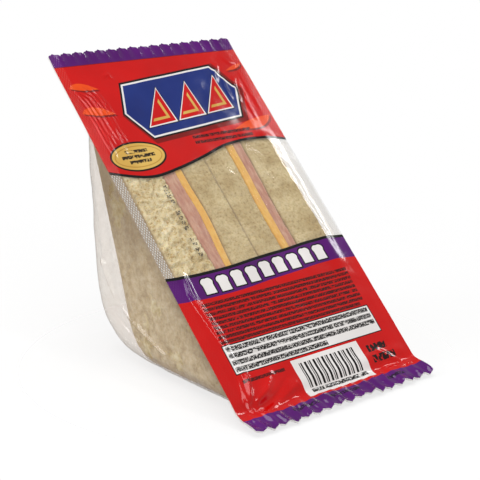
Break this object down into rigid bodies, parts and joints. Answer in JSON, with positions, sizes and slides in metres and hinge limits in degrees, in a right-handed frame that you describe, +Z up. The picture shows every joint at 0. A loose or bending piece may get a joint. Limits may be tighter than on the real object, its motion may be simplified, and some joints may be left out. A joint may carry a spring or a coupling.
{
  "type": "sandwich wedge pack",
  "caption": "Sealed wedge pack: a clear formed pocket with a printed film across its slanting mouth, holding two halves of a filled bread sandwich.",
  "frame": {"origin": "on the table, under the middle of the pack's bounding box", "axes": "+Z up, +Y towards the upright back wall, +X across the pack to the right as seen by someone facing the printed film"},
  "size_m": [0.09, 0.1256, 0.1183],
  "materials": {
    "clear_film": "clear formed film, glossy",
    "printed_film": "glossy printed film with a clear window",
    "bread": "soft white crumb, matt",
    "ham": "moist, satin",
    "cheese": "waxy, satin"
  },
  "bodies": {
    "root": {"formed_pocket": "clear_film", "lidding_film": "printed_film", "bread_outer_left": "bread", "ham_left": "ham", "cheese_left": "cheese", "bread_inner_left": "bread", "bread_inner_right": "bread", "cheese_right": "cheese", "ham_right": "ham", "bread_outer_right": "bread"}
  },
  "joints": []
}
